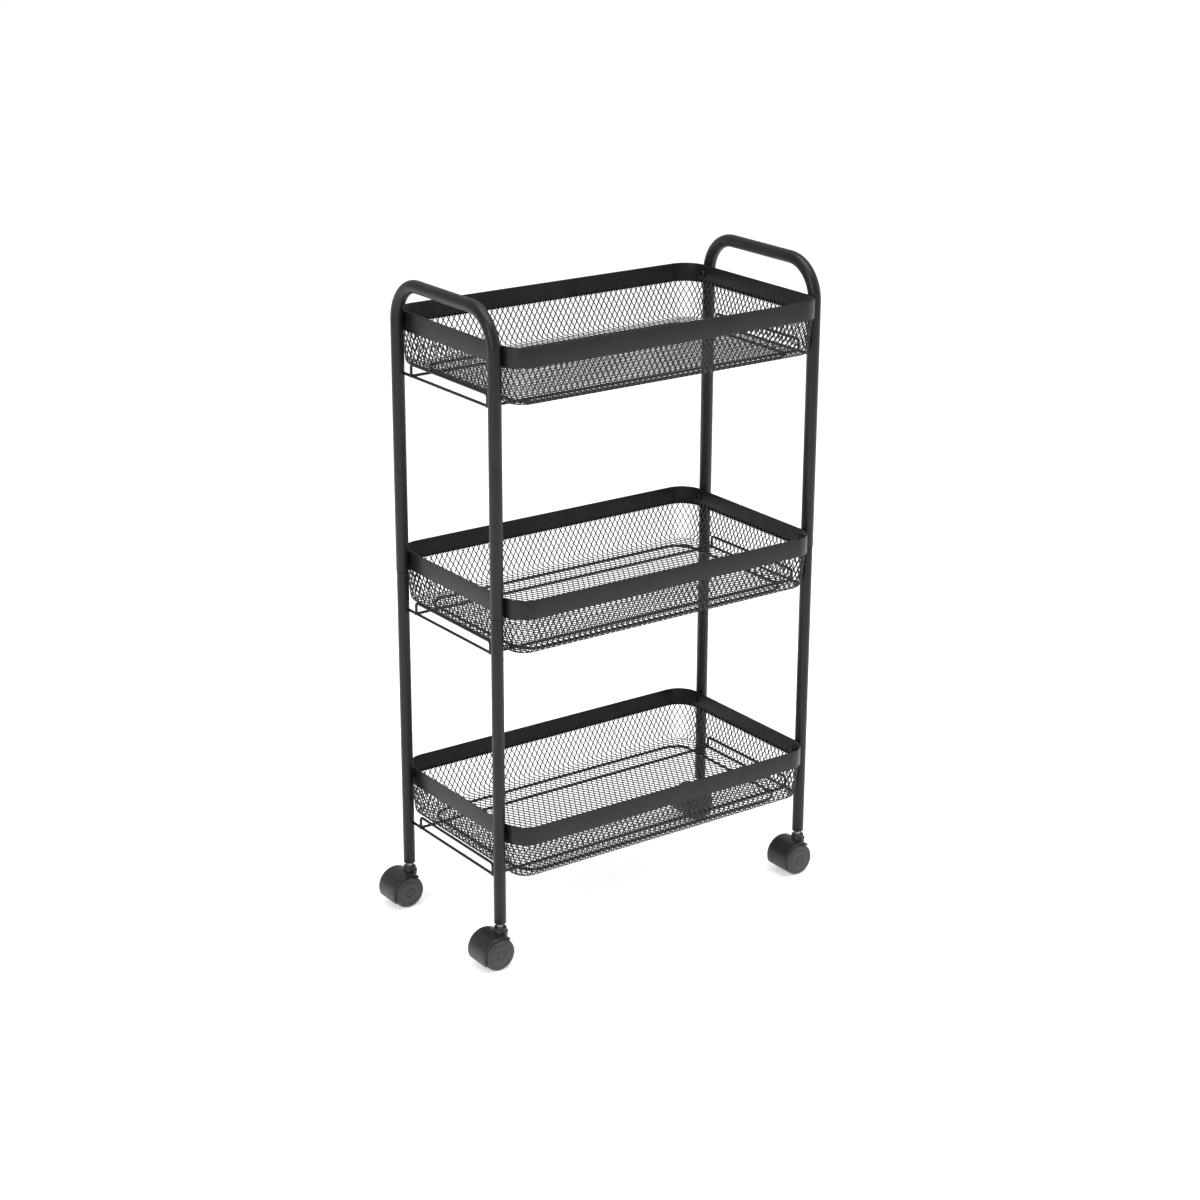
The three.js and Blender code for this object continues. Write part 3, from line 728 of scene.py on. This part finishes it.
def sector(name, radius, half_thickness, sides):
    """A disc about the axle, cut down to the part that lies inside the hood."""
    disc = turned(name, [(radius, -half_thickness), (radius, half_thickness)], sides)
    disc.data.transform(Matrix.Rotation(math.pi / 2, 4, "X"))
    only(disc)
    for angle, sign in ((HOOD_FRONT, 1), (HOOD_BACK, -1)):
        bpy.ops.object.mode_set(mode="EDIT")
        bpy.ops.mesh.select_all(action="SELECT")
        normal = (sign * math.sin(angle), 0, -sign * math.cos(angle))
        bpy.ops.mesh.bisect(plane_co=(0, 0, 0), plane_no=normal, use_fill=True, clear_outer=True)
        bpy.ops.object.mode_set(mode="OBJECT")
    face_outwards(disc)
    return disc


# The hood starts as a crowned drum, narrower at its two rims, and is cut to the same sector
crown = [
    (hood_radius - 0.0016, -half_width),
    (hood_radius - 0.0009, -half_width + 0.0005),
    (hood_radius - 0.0004, -half_width + 0.0014),
    (hood_radius - 0.0001, -half_width + 0.0030),
    (hood_radius, -half_width + 0.0055),
]
crown += [(radius, -height) for radius, height in reversed(crown)]
hood = turned("hood", crown, 72, ends="open")
hood.data.transform(Matrix.Rotation(math.pi / 2, 4, "X"))
only(hood)
for angle, sign in ((HOOD_FRONT, 1), (HOOD_BACK, -1)):
    bpy.ops.object.mode_set(mode="EDIT")
    bpy.ops.mesh.select_all(action="SELECT")
    normal = (sign * math.sin(angle), 0, -sign * math.cos(angle))
    bpy.ops.mesh.bisect(plane_co=(0, 0, 0), plane_no=normal, use_fill=False, clear_outer=True)
    bpy.ops.object.mode_set(mode="OBJECT")
modify(hood, "SOLIDIFY", thickness=HOOD_WALL, offset=-1, use_even_offset=True)

rib = sector("rib", hood_radius - HOOD_WALL / 2, WEB_HALF, 72)
web = turned("web", [(0.0150, -WEB_HALF), (0.0160, -WEB_HALF + 0.0008), (0.0160, WEB_HALF - 0.0008),
                     (0.0150, WEB_HALF)], 48)
web.data.transform(Matrix.Rotation(math.pi / 2, 4, "X"))
collar = turned(
    "collar",
    [
        (0.0080, 0.0125),
        (0.0088, hood_radius - 0.0040),
        (0.0090, hood_radius - 0.0006),
        (0.0080, hood_radius + 0.0005),
        (0.0075, hood_radius + 0.0014),
        (0.0075, neck_top - axle_z - 0.0006),
        (0.0069, neck_top - axle_z),
    ],
    40,
)
collar.data.transform(Matrix.Translation((trail, 0, 0)))
for other in (rib, web, collar):
    modify(hood, "BOOLEAN", operation="UNION", solver="MANIFOLD", object=other)
    bpy.data.objects.remove(other)
for sign in (-1, 1):  # room for a wheel on each side of the wall, which trims the collar's foot
    room = turned("wheel_room", [(0.0203, WEB_HALF), (0.0203, 0.0160)], 72)
    room.data.transform(Matrix.Rotation(sign * math.pi / 2, 4, "X"))
    modify(hood, "BOOLEAN", operation="DIFFERENCE", solver="MANIFOLD", object=room)
    bpy.data.objects.remove(room)
# The stem's bearing, and a bore for the axle
for bore_radius, length, place in (
    (0.0038, 0.017, Matrix.Translation((trail, 0, neck_top - axle_z))),
    (0.0028, 0.030, Matrix.Rotation(math.pi / 2, 4, "X")),
):
    bore = turned("bore", [(bore_radius, -length), (bore_radius, length)], 24)
    bore.data.transform(place)
    modify(hood, "BOOLEAN", operation="DIFFERENCE", solver="MANIFOLD", object=bore)
    bpy.data.objects.remove(bore)
face_outwards(hood)
modify(hood, "BEVEL", width=0.0002, segments=2, limit_method="ANGLE", angle_limit=math.radians(50))
face_outwards(hood)
smooth(hood, 32)
for (side, end), (x, y) in legs.items():
    place = Matrix.Translation((x - trail, y, axle_z))
    twin = placed_copy(hood, f"caster_body_{side}_{end}", place)
    dress(twin, nylon, "black_plastic", f"caster_{side}_{end}", f"caster_housing_{side}_{end}")
bpy.data.objects.remove(hood)

# ---- Wheels ----------------------------------------------------------------------------------
# Dark grey polypropylene, two to a caster, each free on the axle. The outer face is domed to a
# hub cap, and the tread's edges are rounded and worn matt.

wheel_plastic = moulded("worn grey polypropylene", "#2f2d2e", "#413f40", 0.5, 0.8, 0.00008)

tread = axle_z  # the tread touches the floor
inner = wheel_high.y - stem_y
outer = wheel_low.y - stem_y
inner, outer = min(abs(inner), abs(outer)), max(abs(inner), abs(outer))
wheel = turned(
    "wheel",
    [
        (0.0028, outer - 0.0025),
        (0.0028, inner),
        (0.0060, inner),
        (0.0070, inner + 0.0012),
        (tread - 0.0030, inner + 0.0012),
        (tread - 0.0022, inner),
        (tread - 0.0008, inner),
        (tread - 0.0002, inner + 0.0004),
        (tread, inner + 0.0011),
        (tread, outer - 0.0042),
        (tread - 0.0004, outer - 0.0026),
        (tread - 0.0014, outer - 0.0014),
        (tread - 0.0030, outer - 0.0008),
        (tread - 0.0050, outer - 0.0005),
        (tread - 0.0055, outer - 0.0009),
        (tread - 0.0061, outer - 0.0009),
        (tread - 0.0066, outer - 0.0004),
        (0.0100, outer - 0.0001),
        (0.0062, outer),
        (0.0057, outer - 0.0006),
        (0.0052, outer - 0.0006),
        (0.0047, outer),
        (0.0020, outer),
    ],
    64, ends="open",
)
# Close the cap's middle outside, and the end of the axle's blind bore behind it
for height, reach in ((outer, 0.0021), (outer - 0.0025, 0.0029)):
    pick(wheel, "VERT", lambda corner: (
        abs(corner.co.z - height) < 0.00001 and corner.co.xy.length < reach
    ))
    bpy.ops.mesh.edge_face_add()
face_outwards(wheel)
smooth(wheel, 40)
for (side, end), (x, y) in legs.items():
    for wheel_side, quarter in (("front", math.pi / 2), ("rear", -math.pi / 2)):
        name = f"wheel_{wheel_side}_of_{side}_{end}"
        place = Matrix.Translation((x - trail, y, axle_z)) @ Matrix.Rotation(quarter, 4, "X")
        twin = placed_copy(wheel, f"roller_{wheel_side}_of_{side}_{end}", place)
        dress(twin, wheel_plastic, "wheel_plastic", name, name)
bpy.data.objects.remove(wheel)

# ---- Floor, light and camera -----------------------------------------------------------------
# A plain white studio floor under broad soft light from above and both sides.

bpy.ops.object.select_all(action="DESELECT")
bpy.ops.mesh.primitive_plane_add(size=60, location=(0, 0, 0))
floor = bpy.context.object
floor.name = "studio_floor"
white, _ = new_finish(
    "matt white paper", Base_Color=hex_colour("#f7f7f6"), Roughness=0.9,
    Emission_Color=(1, 1, 1, 1), Emission_Strength=0.42,
)
floor.data.materials.append(white)

world = bpy.data.worlds.new("studio")
bpy.context.scene.world = world
world.use_nodes = True
world.node_tree.nodes["Background"].inputs["Color"].default_value = (1, 1, 1, 1)
world.node_tree.nodes["Background"].inputs["Strength"].default_value = 0.62

for name, place, aim, width, height, power in (
    ("overhead", (0.2, -0.3, 3.2), (0, 0, 0.3), 2.2, 2.2, 62),
    ("left_window", (-2.6, -1.2, 1.9), (0, 0, 0.4), 0.7, 2.2, 34),
    ("right_window", (2.8, -1.6, 1.6), (0, 0, 0.4), 0.6, 2.0, 14),
):
    lamp = bpy.data.lights.new(name, "AREA")
    lamp.shape = "RECTANGLE"
    lamp.size, lamp.size_y, lamp.energy = width, height, power
    softbox = bpy.data.objects.new(name, lamp)
    softbox.location = place
    softbox.rotation_euler = (Vector(aim) - Vector(place)).to_track_quat("-Z", "Y").to_euler()
    bpy.context.scene.collection.objects.link(softbox)

# The camera stands in front and to the left, looking down about 20 degrees
heading = math.radians(-35.5636)
fall = math.radians(19.5809)
tilt = math.radians(0.2169)
view = Vector((
    -math.sin(heading) * math.cos(fall), math.cos(heading) * math.cos(fall), -math.sin(fall),
))
level = Vector((math.cos(heading), math.sin(heading), 0))
upright = level.cross(view)
across = math.cos(tilt) * level + math.sin(tilt) * upright
up = -math.sin(tilt) * level + math.cos(tilt) * upright
lens = bpy.data.cameras.new("camera")
lens.lens = 77.01
lens.sensor_width = 36
lens.clip_end = 200
camera = bpy.data.objects.new("camera", lens)
camera.matrix_world = Matrix((
    (across.x, up.x, -view.x, -1.6545),
    (across.y, up.y, -view.y, -2.3160),
    (across.z, up.z, -view.z, 1.3840),
    (0, 0, 0, 1),
))
bpy.context.scene.collection.objects.link(camera)
bpy.context.scene.camera = camera
bpy.context.scene.view_settings.view_transform = "Standard"
